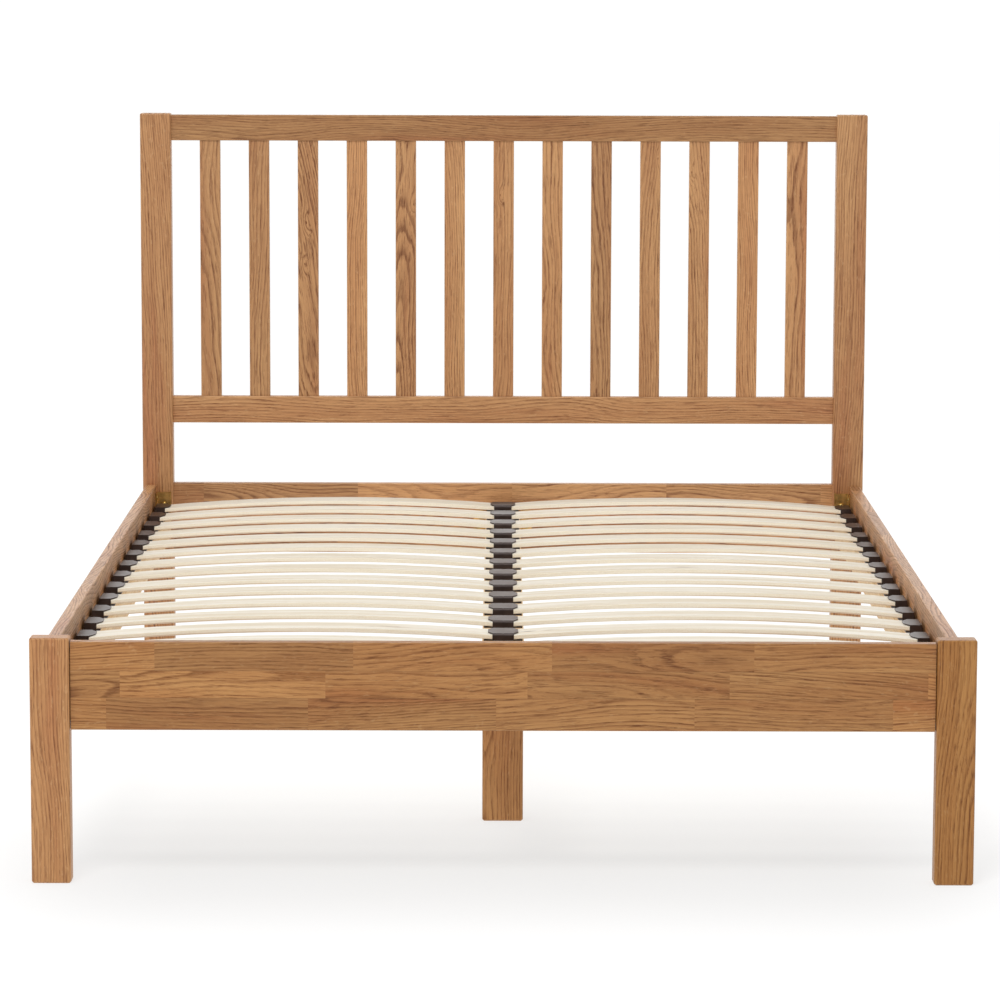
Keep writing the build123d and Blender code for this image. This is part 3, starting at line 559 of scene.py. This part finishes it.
def softwood_piece(node, axes, seed):
    """Planed pine: wide soft rings, pale sapwood and a few brown knots."""
    g = material_graph("softwood_" + node)
    places, halves = place_in(g, node, axes)
    side, deep, along = places
    far = g.plus(along, seed * PINE_STEP)
    off = g.plus(side, g.wander(far, *PINE_SIDEWAYS))
    sunk = g.plus(g.plus(deep, PINE_PITH), g.wander(far, *PINE_DEEP))
    bend = g.swing(g.grain(side, deep, far, *PINE_BEND), PINE_BEND_REACH)
    radius = g.plus(g.hypotenuse(off, sunk), bend)
    spots = g.cells(g.grain(side, deep, far, *PINE_KNOTS))["Distance"]
    radius = g.plus(radius, g.fade(spots, 0.0, PINE_KNOT_REACH, PINE_KNOT_BULGE, 0.0))
    profile = g.ramp(g.maths("FRACT", g.times(radius, PINE_RINGS)), PINE_PROFILE)
    fibre = g.noise(g.grain(side, deep, far, *PINE_LINE), 3.0, 0.6)
    ground = g.blend(g.times(profile, 0.55), PINE_PALE, PINE_LATE)
    ground = g.blend(g.fade(fibre, 0.35, 0.75, 0.0, 0.3), ground, PINE_FIBRE)
    ground = g.blend(g.fade(spots, *PINE_KNOT_CORE, 0.85, 0.0), ground, PINE_KNOT)
    # Painted highlight: the arrises are lightened.
    ground = g.blend(g.times(arris(g, places, halves, PINE_ARRIS), 0.35), ground, PINE_EDGE_HIGHLIGHT)
    height = g.plus(g.times(profile, 0.00006), g.times(fibre, 0.00008))
    roughness = g.plus(0.52, g.times(fibre, 0.16))
    paint(node, g.shade(ground, roughness, height, 0.5, Specular_IOR_Level=0.35))


# ---------------------------------------------------------------- birch ply
SLAT_HALF = 0.0315
PLY_THICK = 0.008
PLY_LAYERS = 7
PLY_STEP = 5.3
OTHER_SLAT = 3.7  # how far each slat of a row is moved along the veneer, one each way
# Per metre across the slat, through it and along it
PLY_BAND = (60.0, 90.0, 2.2)
PLY_LINE = (650.0, 14.0)
PLY_STREAK = (210.0, 26.0)
PLY_KNOTS = (26.0, 4.2)
PLY_SPECKS = (900.0, 900.0)
KNOT_FREE = 0.74  # the share of cells that have no knot
EDGE_FADE = (0.0002, 0.0014)  # from the long edges inwards
PAINTED_SHADE_FADE = (0.0006, 0.0024)  # painted shade along the bottom of the edges, fading from the slat's underside upwards


def ply_row(node, seed):
    """Birch ply slats: peeled-veneer faces, and edges that show the layers following the camber."""
    g = material_graph("birch_ply_" + node)
    low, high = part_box(node)
    inner = min(abs(vertex.co.x) for vertex in nodes[node].data.vertices)
    middle = (inner + high.x) / 2
    half = (high.x - inner) / 2
    camber = high.z - low.z - PLY_THICK
    x, y, z = g.split(g.here())
    off = g.minus(g.magnitude(x), middle)
    sag = g.times(g.times(off, off), camber / half**2)
    rise = g.plus(g.minus(z, high.z - PLY_THICK), sag)
    far = g.plus(g.plus(x, g.times(g.maths("SIGN", x), OTHER_SLAT)), seed * PLY_STEP)
    side = g.minus(y, (low.y + high.y) / 2)
    face, fibre = ply_face(g, side, rise, far)
    cut, odd = ply_edge(g, x, side, rise)
    edge = g.fade(g.minus(SLAT_HALF, g.magnitude(side)), *EDGE_FADE, 1.0, 0.0)
    height = g.plus(g.times(fibre, 0.00005), g.times(g.times(edge, odd), 0.00012))
    roughness = g.plus(0.46, g.times(fibre, 0.18))
    paint(node, g.shade(g.blend(edge, face, cut), roughness, height, 0.5, Specular_IOR_Level=0.4))


def ply_face(g, side, rise, far):
    """Peeled veneer with long soft bands, fine fibre lines, brown mineral streaks and closed knots."""
    bands = g.noise(g.vector(*map(g.times, (side, rise, far), PLY_BAND)), 3.0, 0.55, 0.4)
    fibre = g.noise(g.grain(side, rise, far, *PLY_LINE), 3.0, 0.6)
    face = g.blend(g.fade(bands, 0.35, 0.7), BIRCH_PALE, BIRCH_BAND)
    face = g.blend(g.fade(fibre, 0.5, 0.8, 0.0, 0.4), face, BIRCH_FIBRE)
    across, along = map(g.times, (side, far), PLY_STREAK)
    streak = g.noise(g.vector(across, 0.0, along), 2.0, 0.6)
    across, along = map(g.times, (side, far), PLY_KNOTS)
    cell = g.cells(g.vector(across, 0.3, along))
    knot = g.fade(cell["Distance"], 0.10, 0.22, 1.0, 0.0)
    chosen = g.maths("GREATER_THAN", g.split(cell["Color"])[0], KNOT_FREE)
    spot = g.times(g.times(knot, chosen), g.fade(streak, 0.42, 0.6))
    marks = g.maths("MAXIMUM", g.times(spot, 0.75), g.times(g.fade(streak, 0.70, 0.76), 0.35))
    return g.blend(marks, face, BIRCH_MARK), fibre


def ply_edge(g, x, side, rise):
    """The slats' long edges, with painted shade along their bottom: veneers with end grain and without in
    turn, and where the first kind is.
    """
    layer = g.times(rise, PLY_LAYERS / PLY_THICK)
    odd = g.fade(g.maths("PINGPONG", layer, 1.0), 0.35, 0.65)
    glue = g.fade(g.maths("PINGPONG", g.plus(layer, 0.5), 0.5), 0.0, 0.12, 1.0, 0.0)
    speck = g.noise(g.grain(x, side, rise, *PLY_SPECKS))
    cut = g.blend(odd, EDGE_EVEN, EDGE_ODD)
    cut = g.blend(g.fade(speck, 0.45, 0.7, 0.0, 0.25), cut, EDGE_SPECK)
    cut = g.blend(g.times(glue, 0.5), cut, EDGE_GLUE)
    # Painted shade: the bottom of each edge is darkened.
    cut = g.blend(g.fade(rise, *PAINTED_SHADE_FADE, 0.6, 0.0), cut, EDGE_PAINTED_SHADE)
    return cut, odd


# ---------------------------------------------------------------- plastic and metal
def plastic():
    """Black moulded plastic: a fine spark-eroded skin, slow changes of tone and a little dust."""
    g = material_graph("black_plastic")
    here = g.here()
    fine = g.noise(here, scale=2600.0)
    flow = g.noise(here, 3.0, scale=38.0)
    ground = g.blend(g.fade(flow, 0.4, 0.75), PLASTIC_DARK, PLASTIC_PALE)
    ground = g.blend(g.fade(fine, 0.5, 0.8, 0.0, 0.25), ground, PLASTIC_DUST)
    roughness = g.plus(0.30, g.times(flow, 0.14))
    relief = g.times(fine, 0.00004)
    return g.shade(
        ground, roughness, relief, 0.5, Specular_IOR_Level=0.6, Specular_Tint=PLASTIC_GLOSS
    )


def zinc(name, tint, deep, smoothest):
    """Plated steel: the passivation's cloudy colour, rolling marks and handling scuffs."""
    g = material_graph(name)
    here = g.here()
    cloud = g.noise(here, 4.0, scale=55.0)
    hue = g.noise(here, distortion=0.8, scale=120.0)
    scuff = g.noise(here, 3.0, scale=900.0)
    ground = g.blend(g.fade(cloud, 0.3, 0.7), tint, deep)
    ground = g.blend(g.fade(hue, 0.55, 0.75, 0.0, 0.35), ground, ZINC_OLIVE)
    roughness = g.plus(smoothest, g.times(scuff, 0.22))
    return g.shade(ground, roughness, g.times(scuff, 0.00003), 0.5, Metallic=1.0)


# ---------------------------------------------------------------- every node
# The letters along, across and through a board
UP, FLAT, DOWN_THE_BED, BEAM = "ZXY", "XZY", "YZX", "YXZ"

# The headboard's uprights from left to right: lightness, slope of the grain and the heart's place
UPRIGHTS = (0.93, 0.92, 0.97, 1.13, 1.00, 1.06, 1.04, 1.05, 0.90, 0.98, 1.01, 1.12, 1.05)
UPRIGHT_SLOPES = (0.05, -0.04, 0.12, 0.02, -0.05, 0.03, -0.03, 0.05, 0.02, -0.05, 0.04, 0.03, -0.03)
UPRIGHT_ASIDES = (0.03, 0.07, 0.02, 0.08, 0.01, 0.06, 0.07, 0.05, 0.03, 0.06, 0.04, 0.08, 0.02)
# By upright: the height, side and size of its knots, and how bold its figure is
UPRIGHT_KNOTS = {
    3: ((0.10, 0.008, 0.004), (0.01, -0.006, 0.003)),
    5: ((0.14, 0.010, 0.003),),
    7: ((0.16, -0.012, 0.003),),
    10: ((0.24, 0.004, 0.003),),
    11: ((0.21, -0.008, 0.003),),
}
UPRIGHT_BOLD = {3: 1.6, 5: 1.25, 9: 1.3}
SLAT_ROWS = 14


def dress_headboard():
    oak_piece("headboard_post_left", UP, 1, 0.99, slope=0.06, aside=0.05)
    oak_piece("headboard_post_right", UP, 2, 0.97, rings=190.0, slope=-0.03, aside=-0.06)
    oak_piece("headboard_top_rail", FLAT, 3, 0.78, 1.03, rings=240.0, aside=0.05)
    oak_piece("headboard_lower_rail", FLAT, 4, 1.05, aside=-0.05)
    boards = zip(UPRIGHTS, UPRIGHT_SLOPES, UPRIGHT_ASIDES)
    for number, (lightness, slope, aside) in enumerate(boards, 1):
        oak_piece(
            f"headboard_slat_{number:02d}",
            UP,
            4 + number,
            lightness,
            knots=UPRIGHT_KNOTS.get(number, ()),
            bold=UPRIGHT_BOLD.get(number, 1.0),
            rings=200.0 + 8 * (number % 5),
            pith=0.03 + 0.012 * (number * 5 % 6),
            slope=slope,
            aside=aside,
        )


def dress_base():
    # Painted light and shade: the left foot leg is made lighter and the right one darker, as the key
    # falls from the left.
    oak_piece("foot_leg_left", UP, 21, 1.05, 1.03, pith=0.07, slope=0.02, aside=0.06)
    oak_piece("foot_leg_right", UP, 22, 0.77, 1.14, rings=190.0, slope=-0.02, aside=-0.05)
    # Painted shade: both centre legs are made darker, as shade under the slats.
    oak_piece("centre_leg_front", UP, 23, 0.92, 1.08, aside=0.04)
    oak_piece("centre_leg_rear", UP, 24, 0.92, 1.08, aside=-0.04)
    staved_piece("foot_rail", FLAT, 25, 0.82, 1.09, FOOT_STAVES)
    staved_piece("head_rail", FLAT, 26)
    staved_piece("side_rail_left", DOWN_THE_BED, 27)
    staved_piece("side_rail_right", DOWN_THE_BED, 28)
    softwood_piece("side_batten_left", DOWN_THE_BED, 31)
    softwood_piece("side_batten_right", DOWN_THE_BED, 32)
    softwood_piece("centre_beam", BEAM, 33)
    for number in range(1, SLAT_ROWS + 1):
        ply_row(f"sprung_slats_row_{number:02d}", number)


def dress_fittings():
    black = plastic()
    for part in ("left", "centre", "right"):
        paint("slat_caps_" + part, black)
    plated = zinc("yellow_zinc", colour(229, 184, 112), colour(166, 128, 72), 0.30)
    for side in ("left", "right"):
        paint("corner_bracket_head_" + side, plated)
        paint("corner_bracket_foot_" + side, plated)
    for end in ("head", "foot"):
        paint("beam_hanger_" + end, plated)
    fastener = zinc("yellow_zinc_fastener", colour(214, 188, 120), colour(170, 138, 76), 0.22)
    for kind in ("bracket_bolts", "bracket_inserts", "bracket_screws", "hanger_screws"):
        paint(kind, fastener)
    steel = zinc("steel_fastener", colour(190, 190, 192), colour(140, 141, 145), 0.28)
    for kind in ("batten_screws", "centre_leg_screws"):
        paint(kind, steel)


build_camera()
build_world()
build_floor()
for light in LIGHTS:
    softbox(*light)
dress_headboard()
dress_base()
dress_fittings()
bpy.context.scene.view_settings.view_transform = "Standard"
